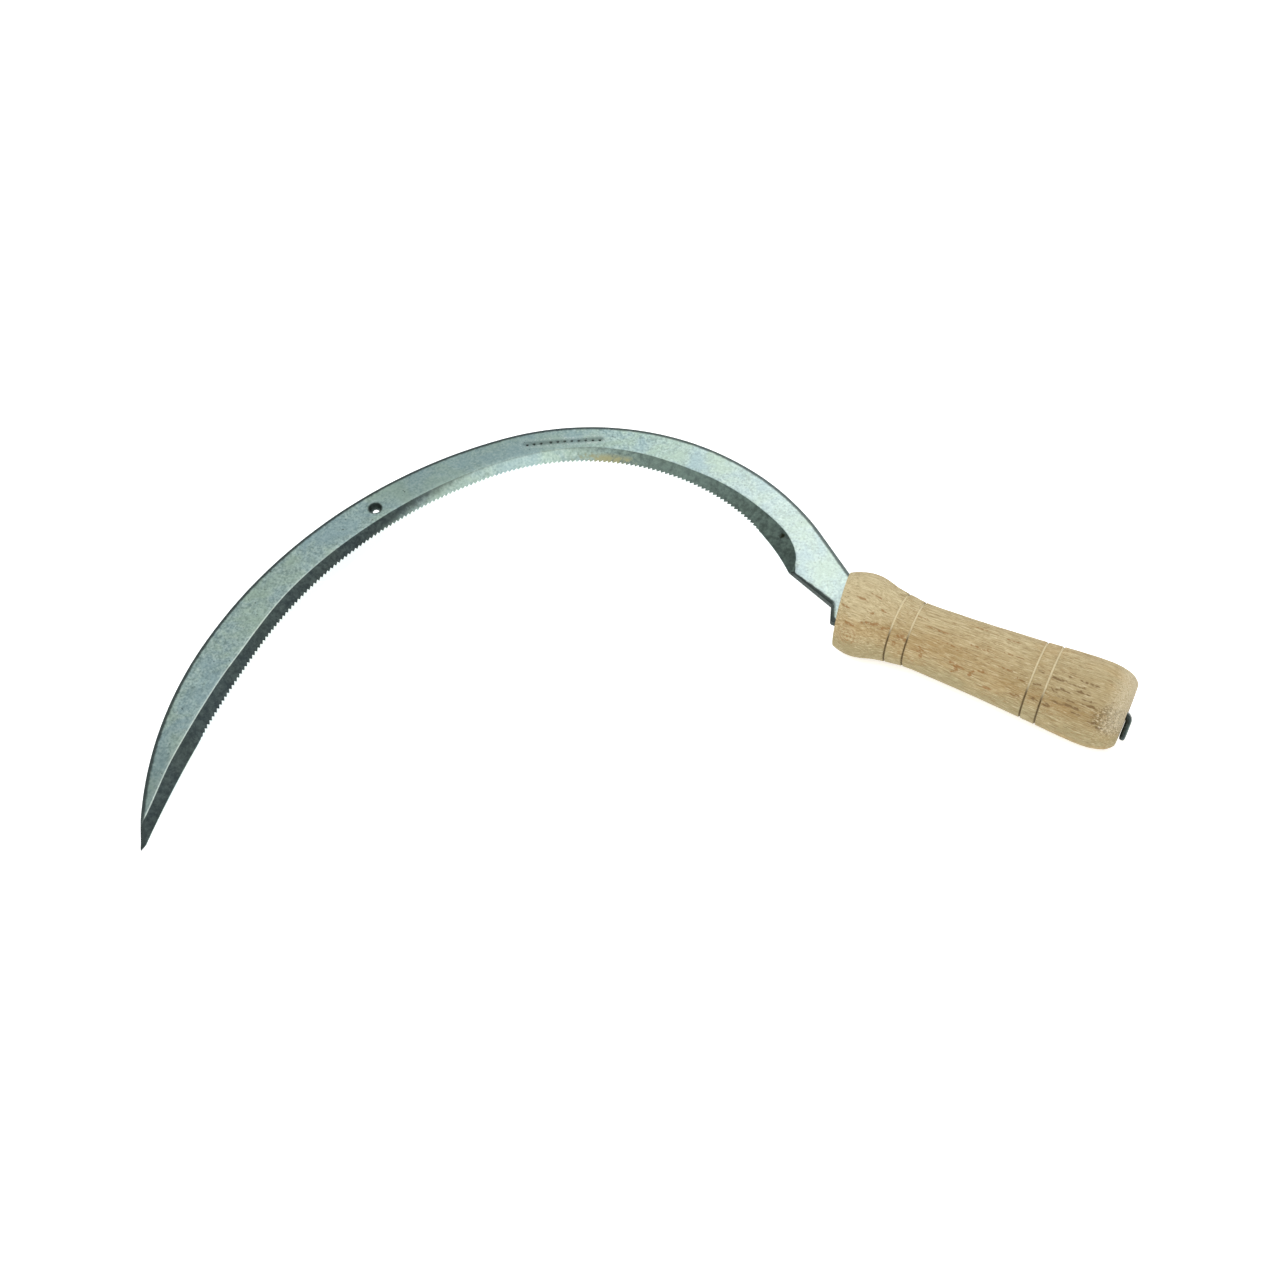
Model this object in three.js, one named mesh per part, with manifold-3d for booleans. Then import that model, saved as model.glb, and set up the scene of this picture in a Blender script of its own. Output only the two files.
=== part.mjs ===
// Hand sickle: a serrated crescent blade forged in one piece with its tang, and the turned wooden handle
// that the tang is driven through and clinched over.
//
// Everything is drawn in the handle's frame, in millimetres: +X runs along the tang from the front of
// the handle to its butt, +Y lies across the blade towards its spine, and +Z is square to the blade's
// flat upper face. The finished sickle is then rolled about the handle until its point touches the
// table, which is how it lies at rest: on the handle's two swells and the point.
import * as THREE from "three";
import { mergeVertices } from "three/addons/utils/BufferGeometryUtils.js";
import Module from "manifold-3d";

const wasm = await Module();
wasm.setup();

// Fit between the steel and the wood.
const CLEARANCE = 0.3;

// Blade plate, its one-sided bevel and its broken spine corners.
const PLATE = 3;
const BEVEL_WIDTH = 5.4;
const EDGE_LAND = 0.4;
const SPINE_CHAMFER = 0.6;

// The spine leaves the shoulder in a straight shank and then turns through three arcs. Each run is a
// length, for a straight, or a radius and the degrees it turns.
const SPINE = {
  start: [-2.6, 15.3],
  heading: 143.4,
  runs: [
    { length: 25 },
    { radius: 114, turn: 82 },
    { radius: 200, turn: 46.5 },
    { radius: 161, turn: 34 },
  ],
};

// The cutting edge runs from the heel to the point.
const EDGE = {
  start: [-27.5, 7.3],
  heading: 138,
  runs: [
    { length: 2.6 },
    { radius: 95, turn: 92 },
    { radius: 182, turn: 41 },
    { radius: 486, turn: 11.5 },
  ],
};
const POINT = [-197.3, -219.8];

// The bevel runs out past the heel on a tight arc, which gives its ridge a rounded end.
const HEEL_RUNOUT = { radius: 24, turn: -40 };

// Saw teeth, measured along the cutting edge from the heel.
const TEETH_FROM = 24;
const TEETH_TO = 336;
const TOOTH_PITCH = 2;
const TOOTH_DEPTH = 0.7;

// Hanging hole through the blade.
const HOLE_CENTRE = [-202.2, -39.3];
const HOLE_DIAMETER = 5.4;

// Shoulder that bears on the front of the handle, with a lug below the shank.
const SHANK_FOOT = [-4.6, -1.3];
const LUG_WIDTH = 3.2;
const LUG_END = -9.2;
const LUG_CHAMFER = 1;

// Tang through the handle's pilot bore, and its end hammered over against the butt.
const PILOT_BORE_DIAMETER = 6;
const TANG_WIDTH = 9;
const TANG_END_WIDTH = 4.6;
const CLINCH_THICKNESS = 2.4;
const CLINCH_REACH = 10.5;
const CLINCH_LEAN = THREE.MathUtils.degToRad(45);
const BEND_BEFORE = 1.5;
const BEND_AFTER = 1;
// How far the tang is rooted in the plate, and the clinched end in the tang.
const TANG_ROOTED = 3;
const CLINCH_ROOTED = 12;

// Turned handle. Stations are [distance from the front, radius].
const HANDLE_LENGTH = 121;
const HANDLE_STATIONS = [
  [-5, 12.8],
  [0, 15.5],
  [5, 17.1],
  [9.7, 17.6],
  [14, 17],
  [19, 15.6],
  [26, 14.5],
  [34, 13.75],
  [50, 14.25],
  [74, 15.5],
  [96, 17.1],
  [107.5, 17.6],
  [113.5, 17.1],
  [117.8, 15.8],
  [120.3, 13.8],
];
const BUTT_FACE_RADIUS = 12.4;
const SWELL_RADIUS = 17.6;
const FRONT_SLANT = THREE.MathUtils.degToRad(8.5);
const GROOVE_STATIONS = [24.1, 31.5, 82.7, 89.1];
const GROOVE_WIDTH = 0.9;
const GROOVE_DEPTH = 0.6;

// How finely curves are stepped.
const SPINE_STEPS = 72;
const BEVEL_STEPS = 110;
const CLINCH_STEPS = 24;
const CLINCH_SIDE_STEPS = 6;
const EDGE_STEP = 5;
const HANDLE_SIDES = 48;
const HANDLE_STEPS = 24;
const HANDLE_SAMPLES = 400;
const BORE_SIDES = 24;

// How far cutting tools reach past the surfaces that they cut.
const OVERCUT = 1;
const BEVEL_OVERCUT = 3;
const POINT_OVERCUT = 12;
const WASTE_BLOCK = 60;
const BORE_LENGTH = 363;

// A plane curve of straights and tangent arcs, followed from a start point and a heading in degrees.
class TangentRuns extends THREE.Curve {
  constructor({ start, heading, runs }) {
    super();
    let [x, y] = start;
    let angle = THREE.MathUtils.degToRad(heading);
    let travelled = 0;
    this.runs = runs.map(({ length, radius, turn }) => {
      const curvature = radius ? Math.sign(turn) / radius : 0;
      const reach = radius ? radius * Math.abs(THREE.MathUtils.degToRad(turn)) : length;
      const run = { x, y, angle, curvature, from: travelled, to: travelled + reach };
      [x, y] = this.along(run, reach);
      angle += curvature * reach;
      travelled += reach;
      return run;
    });
    this.total = travelled;
  }

  along({ x, y, angle, curvature }, s) {
    if (curvature === 0) return [x + s * Math.cos(angle), y + s * Math.sin(angle)];
    const end = angle + curvature * s;
    return [
      x + (Math.sin(end) - Math.sin(angle)) / curvature,
      y - (Math.cos(end) - Math.cos(angle)) / curvature,
    ];
  }

  at(s) {
    const run = this.runs.find((r) => s <= r.to) ?? this.runs.at(-1);
    return new THREE.Vector2(...this.along(run, s - run.from));
  }

  headingAt(s) {
    const run = this.runs.find((r) => s <= r.to) ?? this.runs.at(-1);
    return run.angle + run.curvature * (s - run.from);
  }

  getPoint(t, target = new THREE.Vector3()) {
    const { x, y } = this.at(t * this.total);
    return target.set(x, y, 0);
  }
}

const spineCurve = new TangentRuns(SPINE);
const edgeCurve = new TangentRuns(EDGE);

// Booleans: a closed geometry as a manifold solid, and a solid back as a geometry.
function solidFrom(geometry) {
  const bare = geometry.clone();
  bare.deleteAttribute("normal");
  bare.deleteAttribute("uv");
  const merged = mergeVertices(bare, 1e-4);
  return new wasm.Manifold(
    new wasm.Mesh({
      numProp: 3,
      vertProperties: new Float32Array(merged.attributes.position.array),
      triVerts: new Uint32Array(merged.index.array),
    }),
  );
}

function geometryFrom(solid) {
  const mesh = solid.getMesh();
  const geometry = new THREE.BufferGeometry();
  geometry.setAttribute("position", new THREE.BufferAttribute(new Float32Array(mesh.vertProperties), 3));
  geometry.setIndex(new THREE.BufferAttribute(new Uint32Array(mesh.triVerts), 1));
  geometry.computeVertexNormals();
  return geometry;
}

// A flat outline given thickness evenly about the plane z = 0.
function plateFrom(shape, thickness) {
  const geometry = new THREE.ExtrudeGeometry(shape, { depth: thickness, bevelEnabled: false });
  return solidFrom(geometry.translate(0, 0, -thickness / 2));
}

// A section swept along a curve in the plane z = 0. Section points are [towards the left of travel, up].
function sweptAlong(curve, section, steps) {
  const shape = new THREE.Shape(section.map(([left, up]) => new THREE.Vector2(-up, left)));
  return solidFrom(new THREE.ExtrudeGeometry(shape, { steps, extrudePath: curve, bevelEnabled: false }));
}

// The front of the handle, where the steel's shoulder meets the slanted wood.
function frontAt(y) {
  return -y * Math.tan(FRONT_SLANT);
}

// Cutting edge from the heel to the point: plain, then saw teeth whose steep side faces the point.
function edgeOutline() {
  const points = [];
  for (let s = 0; s < TEETH_FROM; s += EDGE_STEP) points.push(edgeCurve.at(s));
  for (let s = TEETH_FROM; s < TEETH_TO; s += TOOTH_PITCH) {
    const gullet = edgeCurve.at(s);
    const inward = edgeCurve.headingAt(s) - Math.PI / 2;
    gullet.add(new THREE.Vector2(Math.cos(inward), Math.sin(inward)).multiplyScalar(TOOTH_DEPTH));
    points.push(edgeCurve.at(s - TOOTH_PITCH / 5), gullet);
  }
  for (let s = TEETH_TO; s < edgeCurve.total; s += EDGE_STEP * 2) points.push(edgeCurve.at(s));
  return points;
}

function bladeOutline() {
  const spine = spineCurve.getSpacedPoints(SPINE_STEPS).map(({ x, y }) => new THREE.Vector2(x, y));
  const shoulderBottom = frontAt(LUG_END) - CLEARANCE;
  const lug = [
    [shoulderBottom, LUG_END],
    [shoulderBottom - LUG_WIDTH + LUG_CHAMFER, LUG_END],
    [shoulderBottom - LUG_WIDTH, LUG_END + LUG_CHAMFER],
    SHANK_FOOT,
  ];
  return new THREE.Shape([
    ...spine,
    new THREE.Vector2(...POINT),
    ...edgeOutline().reverse(),
    ...lug.reverse().map(([x, y]) => new THREE.Vector2(x, y)),
  ]);
}

// The wedge ground off the upper side, from the ridge down to the cutting edge and off past the heel.
function bevelWedge() {
  const heading = THREE.MathUtils.radToDeg(edgeCurve.headingAt(0));
  const runout = new TangentRuns({ start: EDGE.start, heading: heading + 180, runs: [HEEL_RUNOUT] });
  const startHeading = THREE.MathUtils.radToDeg(runout.headingAt(runout.total)) + 180;
  const path = new TangentRuns({
    start: runout.at(runout.total).toArray(),
    heading: startHeading,
    runs: [
      { radius: HEEL_RUNOUT.radius, turn: -HEEL_RUNOUT.turn },
      ...EDGE.runs,
      { length: POINT_OVERCUT },
    ],
  });
  const rise = PLATE - EDGE_LAND;
  const bottom = -PLATE / 2 + EDGE_LAND;
  const top = bottom + rise + OVERCUT;
  const section = [
    [BEVEL_OVERCUT, bottom],
    [0, bottom],
    [-BEVEL_WIDTH * (1 + OVERCUT / rise), top],
    [BEVEL_OVERCUT, top],
  ];
  return sweptAlong(path, section, BEVEL_STEPS);
}

// The small corner taken off the spine, above for side = 1 and below for side = -1.
function spineCorner(side) {
  const top = (side * PLATE) / 2;
  const section = [
    [SPINE_CHAMFER, top],
    [0, top - side * SPINE_CHAMFER],
    [-OVERCUT, top - side * SPINE_CHAMFER],
    [-OVERCUT, top + side * OVERCUT],
    [SPINE_CHAMFER, top + side * OVERCUT],
  ];
  return sweptAlong(spineCurve, side > 0 ? section : section.reverse(), SPINE_STEPS);
}

function tang(extra) {
  const root = TANG_WIDTH / 2 + extra;
  const end = TANG_END_WIDTH / 2 + extra;
  const butt = HANDLE_LENGTH + extra;
  const outline = [
    [-TANG_ROOTED, root],
    [-TANG_ROOTED, -root],
    [butt, -end],
    [butt, end],
  ];
  const shape = new THREE.Shape(outline.map(([x, y]) => new THREE.Vector2(x, y)));
  return plateFrom(shape, CLINCH_THICKNESS + 2 * extra);
}

// The tang's end, bent square over the butt and leaning towards the point's side.
function clinchedEnd() {
  const centre = HANDLE_LENGTH + CLEARANCE + CLINCH_THICKNESS / 2;
  const half = CLINCH_THICKNESS / 2;
  const path = new THREE.CurvePath();
  const corner = new THREE.Vector3(centre, 0, 0);
  const before = new THREE.Vector3(centre - half - BEND_BEFORE, 0, 0);
  const after = new THREE.Vector3(centre, 0, -half - BEND_AFTER);
  path.add(new THREE.LineCurve3(new THREE.Vector3(centre - CLINCH_ROOTED, 0, 0), before));
  path.add(new THREE.QuadraticBezierCurve3(before, corner, after));
  path.add(new THREE.LineCurve3(after, new THREE.Vector3(centre, 0, -CLINCH_REACH)));
  const section = new THREE.Shape();
  section.absellipse(0, 0, half, TANG_END_WIDTH / 2, 0, Math.PI * 2);
  const geometry = new THREE.ExtrudeGeometry(section, {
    steps: CLINCH_STEPS,
    curveSegments: CLINCH_SIDE_STEPS,
    extrudePath: path,
    bevelEnabled: false,
  });
  return solidFrom(geometry.rotateX(-CLINCH_LEAN));
}

function bladeGeometry() {
  const outline = bladeOutline();
  const hole = new THREE.Path();
  hole.absarc(...HOLE_CENTRE, HOLE_DIAMETER / 2, 0, Math.PI * 2);
  outline.holes.push(hole);
  const ground = plateFrom(outline, PLATE)
    .subtract(bevelWedge())
    .subtract(spineCorner(1))
    .subtract(spineCorner(-1));
  return geometryFrom(ground.add(tang(0)).add(clinchedEnd()));
}

// The handle's radius at a distance from its front, on a smooth curve through the stations.
const handleSide = new THREE.SplineCurve(
  HANDLE_STATIONS.map(([along, radius]) => new THREE.Vector2(along, radius)),
);
const handleSamples = handleSide.getSpacedPoints(HANDLE_SAMPLES);

function radiusAt(along) {
  const next = Math.max(1, handleSamples.findIndex(({ x }) => x >= along));
  const [a, b] = [handleSamples[next - 1], handleSamples[next]];
  return THREE.MathUtils.mapLinear(along, a.x, b.x, a.y, b.y);
}

// The turned profile as [distance from the front, radius], with its V grooves.
function handleProfile() {
  const first = HANDLE_STATIONS[0][0];
  const last = HANDLE_STATIONS.at(-1)[0];
  const clearOfGrooves = (along) =>
    GROOVE_STATIONS.every((groove) => Math.abs(along - groove) > GROOVE_WIDTH);
  const points = [];
  for (let i = 0; i <= HANDLE_STEPS; i++) {
    const along = THREE.MathUtils.lerp(first, last, i / HANDLE_STEPS);
    if (clearOfGrooves(along)) points.push([along, radiusAt(along)]);
  }
  for (const groove of GROOVE_STATIONS) {
    const lips = [groove - GROOVE_WIDTH / 2, groove + GROOVE_WIDTH / 2];
    points.push([groove, radiusAt(groove) - GROOVE_DEPTH]);
    points.push(...lips.map((lip) => [lip, radiusAt(lip)]));
  }
  points.sort((p, q) => p[0] - q[0]);
  return [[first, 0], ...points, [HANDLE_LENGTH, BUTT_FACE_RADIUS], [HANDLE_LENGTH, 0]];
}

function handleGeometry() {
  const profile = handleProfile().map(([along, radius]) => new THREE.Vector2(radius, along));
  const turned = new THREE.LatheGeometry(profile, HANDLE_SIDES).rotateZ(-Math.PI / 2);
  const waste = new THREE.BoxGeometry(WASTE_BLOCK, WASTE_BLOCK, WASTE_BLOCK)
    .translate(-WASTE_BLOCK / 2, 0, 0)
    .rotateZ(FRONT_SLANT);
  const boreRadius = PILOT_BORE_DIAMETER / 2;
  const bore = new THREE.CylinderGeometry(boreRadius, boreRadius, BORE_LENGTH, BORE_SIDES);
  return geometryFrom(
    solidFrom(turned)
      .subtract(solidFrom(waste))
      .subtract(solidFrom(bore.rotateZ(Math.PI / 2)))
      .subtract(tang(CLEARANCE)),
  );
}

const forgedSteel = new THREE.MeshStandardMaterial({ color: 0x93a5a0, roughness: 0.45, metalness: 0.9 });
const rawHardwood = new THREE.MeshStandardMaterial({ color: 0xc8b48c, roughness: 0.85, metalness: 0 });

function part(name, geometry, material) {
  const mesh = new THREE.Mesh(geometry, material);
  mesh.name = name;
  return mesh;
}

// Rolled about the handle so that the underside of the point comes down to the table.
const sickle = new THREE.Group();
sickle.add(part("blade", bladeGeometry(), forgedSteel));
sickle.add(part("handle", handleGeometry(), rawHardwood));
sickle.rotation.x = Math.asin((SWELL_RADIUS - PLATE / 2) / -POINT[1]);

// Stood with the middle of its footprint at the origin and its lowest point at z = 0.
const lying = new THREE.Group();
lying.add(sickle);
const extent = new THREE.Box3().setFromObject(lying, true);
const middle = extent.getCenter(new THREE.Vector3());
sickle.position.set(-middle.x, -middle.y, -extent.min.z);

export default lying;
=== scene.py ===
"""Looks for the hand sickle: a forged blade with its tang, the turned wooden handle, a floor and light.

Shapes are drawn in millimetres in the handle's frame: +X from the front of the handle to its butt, +Y
across the blade towards its spine, +Z square to the blade's upper face. `placed` turns that into the
CAD's frame.
"""

import math

import bmesh
import bpy
import numpy as np
from mathutils import Matrix, Vector, noise


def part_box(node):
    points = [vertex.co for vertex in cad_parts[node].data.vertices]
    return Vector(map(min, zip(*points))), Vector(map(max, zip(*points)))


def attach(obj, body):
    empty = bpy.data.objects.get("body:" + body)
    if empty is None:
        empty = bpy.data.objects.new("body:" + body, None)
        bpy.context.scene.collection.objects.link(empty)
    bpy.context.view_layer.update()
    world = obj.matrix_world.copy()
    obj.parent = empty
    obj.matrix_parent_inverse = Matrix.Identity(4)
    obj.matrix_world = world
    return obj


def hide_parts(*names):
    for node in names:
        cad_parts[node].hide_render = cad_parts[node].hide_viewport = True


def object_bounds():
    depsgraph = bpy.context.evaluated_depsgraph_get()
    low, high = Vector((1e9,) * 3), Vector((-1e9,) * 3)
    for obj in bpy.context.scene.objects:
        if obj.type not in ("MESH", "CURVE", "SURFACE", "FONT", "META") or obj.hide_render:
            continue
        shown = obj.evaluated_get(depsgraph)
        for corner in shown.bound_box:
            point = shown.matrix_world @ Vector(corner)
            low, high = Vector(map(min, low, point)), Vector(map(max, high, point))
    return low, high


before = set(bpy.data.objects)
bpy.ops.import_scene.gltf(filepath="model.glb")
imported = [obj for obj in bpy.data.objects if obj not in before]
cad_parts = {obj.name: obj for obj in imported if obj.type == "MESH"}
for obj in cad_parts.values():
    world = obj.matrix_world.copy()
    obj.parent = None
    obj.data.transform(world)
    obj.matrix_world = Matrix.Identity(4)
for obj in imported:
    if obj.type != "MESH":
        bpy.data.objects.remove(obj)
cad_low, cad_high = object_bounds()

MM = 0.001
HANDLE_LENGTH = 121.0
SWELL_RADIUS = 17.6
PLATE = 3.0
TOP = PLATE / 2
POINT = (-197.3, -219.8)
ROLL = math.asin((SWELL_RADIUS - TOP) / -POINT[1])
CLEARANCE = 0.3
FRONT_SLANT = math.radians(8.5)

handle_low, handle_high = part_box("handle")
ORIGIN = Vector((
    handle_high[0] - HANDLE_LENGTH * MM,
    (handle_low[1] + handle_high[1]) / 2,
    (handle_low[2] + handle_high[2]) / 2,
))
TO_PART = Matrix.Translation(ORIGIN) @ Matrix.Rotation(ROLL, 4, "X") @ Matrix.Scale(MM, 4)


def placed(points):
    """Points in the handle's frame, in mm, as metres in the CAD's frame."""
    m = np.array(TO_PART)
    return np.asarray(points) @ m[:3, :3].T + m[:3, 3]


def smooth_between(x, low, high):
    t = np.clip((x - low) / (high - low), 0.0, 1.0)
    return t * t * (3 - 2 * t)


# ---------------------------------------------------------------- camera
camera_data = bpy.data.cameras.new("camera")
camera_data.lens = 50.0
camera_data.sensor_width = 36.0
camera_data.clip_start, camera_data.clip_end = 0.05, 20.0
camera = bpy.data.objects.new("camera", camera_data)
camera.location = (0.18697, -0.36676, 0.58707)
LOOKED_AT = Vector((-0.0202, 0.04245, 0.0))
camera.rotation_euler = (LOOKED_AT - camera.location).to_track_quat("-Z", "Y").to_euler()
bpy.context.collection.objects.link(camera)
bpy.context.scene.camera = camera


# ---------------------------------------------------------------- plane curves
class Runs:
    """A curve of straights and tangent arcs, sampled finely and read back by distance along it."""

    FINE = 0.1  # mm between samples
    COARSE = 5  # samples between those that `nearest` looks at
    CHUNK = 2000  # points that `nearest` looks up at a time

    def __init__(self, start, heading, runs, end=None):
        x, y = start
        angle = math.radians(heading)
        points, headings, distances, travelled = [(x, y)], [angle], [0.0], 0.0
        for reach, radius in runs:
            length = radius * math.radians(reach) if radius else reach
            steps = max(2, round(length / self.FINE))
            for i in range(1, steps + 1):
                s = length * i / steps
                if radius:
                    turned = angle + s / radius
                    across = radius * (math.sin(turned) - math.sin(angle))
                    up = -radius * (math.cos(turned) - math.cos(angle))
                    p = (x + across, y + up)
                else:
                    turned = angle
                    p = (x + s * math.cos(angle), y + s * math.sin(angle))
                points.append(p)
                headings.append(turned)
                distances.append(travelled + s)
            x, y = points[-1]
            angle = headings[-1]
            travelled += length
        if end is not None:
            gap = math.dist(end, (x, y))
            angle = math.atan2(end[1] - y, end[0] - x)
            steps = max(2, round(gap / self.FINE))
            for i in range(1, steps + 1):
                points.append((x + (end[0] - x) * i / steps, y + (end[1] - y) * i / steps))
                headings.append(angle % (2 * math.pi))
                distances.append(travelled + gap * i / steps)
        self.points = np.array(points)
        self.headings = np.array(headings)
        self.distances = np.array(distances)
        self.total = distances[-1]

    def at(self, s):
        return np.stack([np.interp(s, self.distances, self.points[:, k]) for k in (0, 1)], axis=-1)

    def heading(self, s):
        return np.interp(s, self.distances, self.headings)

    def nearest(self, points):
        """Distance to the curve, and the distance along it, for each of many points."""
        line, along = self.points[:: self.COARSE], self.distances[:: self.COARSE]
        gap, where = [], []
        for chunk in np.array_split(points, max(1, len(points) // self.CHUNK)):
            d = np.linalg.norm(chunk[:, None] - line[None], axis=2)
            k = d.argmin(axis=1)
            gap.append(d[np.arange(len(k)), k])
            where.append(along[k])
        return np.concatenate(gap), np.concatenate(where)


spine_curve = Runs((-2.6, 15.3), 143.4, [(25, 0), (82, 114), (46.5, 200), (34, 161)], end=POINT)
edge_curve = Runs((-27.5, 7.3), 138, [(2.6, 0), (92, 95), (41, 182), (11.5, 486)])

# ---------------------------------------------------------------- blade
# Width of the bevel at distances from the heel.
BEVEL_AT = [0, 4, 11, 18, 33, 54, 70, 110, 150, 210, 260, 285, 310, 345, 372]
BEVEL_WIDTH = [2.9, 5.1, 7.3, 8.0, 7.1, 6.0, 5.3, 6.3, 5.0, 4.6, 5.3, 4.9, 5.6, 5.5, 4.2]
EDGE_LAND = 0.3
BEVEL_RISE = PLATE - EDGE_LAND
SPINE_ROUND = 0.75
CORNER = 0.45  # softened upper corner of the shank's lower wall
TEETH_FROM, TEETH_TO = 24.0, 336.0
TOOTH_PITCH = 2.0
TOOTH_DEPTH = 0.9
TOOTH_TIP = 0.78  # where in each pitch the tip lies: the steep side faces the point
GROOVE_RISE = 0.5  # filed grooves on the underside, behind the gullets
GROOVE_LENGTH = 5.0
HOLE_CENTRE = (-202.2, -39.3)
HOLE_DIAMETER = 5.4
HOLE_UNDERSIDE = 2.8  # punched from above, so narrower below


def cubic_through(x, xs, ys):
    """A smooth curve through the knots, with no overshoot at a turn."""
    xs, ys = np.array(xs, float), np.array(ys, float)
    h, d = np.diff(xs), np.diff(ys) / np.diff(xs)
    slope = np.zeros(len(xs))
    turning = d[:-1] * d[1:] > 0
    slope[1:-1][turning] = 2 * (d[:-1] * d[1:])[turning] / (d[:-1] + d[1:])[turning]
    x = np.clip(x, xs[0], xs[-1])
    i = np.clip(np.searchsorted(xs, x) - 1, 0, len(h) - 1)
    t = (x - xs[i]) / h[i]
    return (
        ys[i] * (1 + 2 * t) * (1 - t) ** 2
        + slope[i] * h[i] * t * (1 - t) ** 2
        + ys[i + 1] * t * t * (3 - 2 * t)
        - slope[i + 1] * h[i] * t * t * (1 - t)
    )


def bevel_width(s):
    return cubic_through(s, BEVEL_AT, BEVEL_WIDTH)


def notch(s):
    """0 at a tooth's tip and 1 in a gullet, along the toothed part of the edge."""
    phase = np.mod((s - TEETH_FROM) / TOOTH_PITCH, 1.0)
    depth = np.where(phase < TOOTH_TIP, 1 - phase / TOOTH_TIP, (phase - TOOTH_TIP) / (1 - TOOTH_TIP))
    starting = smooth_between(s, TEETH_FROM - 2, TEETH_FROM + 8)
    ending = 1 - smooth_between(s, TEETH_TO - 10, TEETH_TO)
    return depth * (starting * ending)


def spine_partner(s):
    """Where on the spine the square across from the edge at s comes out."""
    at, heading = edge_curve.at(s), float(edge_curve.heading(s)) - math.pi / 2
    inward = np.array([math.cos(heading), math.sin(heading)])
    to = spine_curve.points - at
    side = inward[0] * to[:, 1] - inward[1] * to[:, 0]
    ahead = to @ inward
    crossing = np.nonzero((side[:-1] * side[1:] <= 0) & (ahead[:-1] > 0) & (ahead[:-1] < 40))[0]
    return spine_curve.distances[crossing[0]] if len(crossing) else spine_curve.total


grid = np.arange(0.0, 376.0, 4.0)
partners = np.maximum.accumulate([spine_partner(s) for s in grid])
grid = np.append(grid, edge_curve.total)
partners = np.append(partners, spine_curve.total)

FLAT_COLUMNS = 13
BEVEL_COLUMNS = 6
UNDER_NEAR_EDGE = [0, 0.7, 1.6, 2.7, 3.9, 5.2]
UNDER_COLUMNS = 7
ROUND_STEPS = 4


def section(width, bevel, land_top, top, groove, spine_round):
    """A closed cross-section as [distance from the edge, height], first along the underside, then back."""
    scale = min(1.0, width / 14)
    ring = [(a * scale, -TOP + groove * max(0.0, 1 - a / GROOVE_LENGTH) ** 1.3) for a in UNDER_NEAR_EDGE]
    r = min(spine_round, width * 0.3, (top + TOP) * 0.42)
    ring += [(a, -TOP) for a in np.linspace(6.6 * scale, width - r, UNDER_COLUMNS)]
    for centre, first in ((-TOP + r, -90), (top - r, 0)):
        for i in range(1 if first else 0, ROUND_STEPS + (0 if first == 0 else 1)):
            turn = math.radians(first + 90 * i / ROUND_STEPS)
            ring.append((width - r + r * math.cos(turn), centre + r * math.sin(turn)))
    ridge = min(bevel, width - r - 0.12 * scale)
    slope = (top - land_top) / ridge
    soft = min(0.14, ridge * 0.2, (width - r - ridge) * 0.45)
    flat = np.linspace(width - r, ridge + soft, FLAT_COLUMNS)
    ring += [(a, top) for a in flat]
    ring.append((ridge, top - 0.3 * soft * slope))
    for a in np.linspace(ridge - soft, 0, BEVEL_COLUMNS):
        ring.append((a, land_top + slope * a))
    return np.array(ring)


def blade_ring(edge, spine, bevel, land_top, top=TOP, groove=0.0, spine_round=SPINE_ROUND):
    edge, spine = np.asarray(edge, float), np.asarray(spine, float)
    width = float(np.linalg.norm(spine - edge))
    a = section(width, bevel, land_top, top, groove, spine_round)
    across = edge + (spine - edge) / width * a[:, :1]
    return np.column_stack([across, a[:, 1]])


def steel_unevenness(points):
    """Forged surfaces aren't dead flat: slow waves of a few hundredths of a millimetre."""
    out = points.copy()
    for p in out:
        v = Vector((p[0] * 0.06, p[1] * 0.06, p[2] * 0.05))
        p[2] += 0.10 * noise.noise(v) + 0.035 * noise.noise(v * 4.1 + Vector((7, 3, 1)))
    return out


def front_at(y):
    return -y * math.tan(FRONT_SLANT)


rings = []

# The point, drawn back to where the teeth end, then the toothed edge to the heel.
tooth_phases = (0.0, 0.28, 0.55, TOOTH_TIP)
stations = [edge_curve.total - d for d in (0.8, 1.8, 3.2, 5.0, 7.0)]
stations += list(np.arange(edge_curve.total - 9.5, TEETH_TO, -2.5))
for tooth in range(round((TEETH_TO - TEETH_FROM) / TOOTH_PITCH) - 1, -1, -1):
    stations += [TEETH_FROM + (tooth + phase) * TOOTH_PITCH for phase in reversed(tooth_phases)]
stations += list(np.arange(TEETH_FROM - 1.5, 0.5, -1.5)) + [0.0]
for s in stations:
    cut = float(notch(s))
    heading = float(edge_curve.heading(s)) - math.pi / 2
    edge = edge_curve.at(s)
    spine = spine_curve.at(np.interp(s, grid, partners))
    inward = (spine - edge) / np.linalg.norm(spine - edge)
    wander = 0.16 * noise.noise(Vector((s * 0.9, 0, 0)))
    width = float(np.linalg.norm(spine - edge))
    bevel = float(bevel_width(s))
    slope = BEVEL_RISE / max(bevel, 4.6)
    top = min(TOP, -TOP + EDGE_LAND + slope * max(width - SPINE_ROUND, 0.4))
    in_by = cut * TOOTH_DEPTH * (1 + wander)
    land = -TOP + EDGE_LAND + slope * in_by * 0.9
    ring = blade_ring(edge + inward * in_by, spine, max(bevel - in_by, 0.5), land, top, cut * GROOVE_RISE)
    rings.append(ring)

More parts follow.
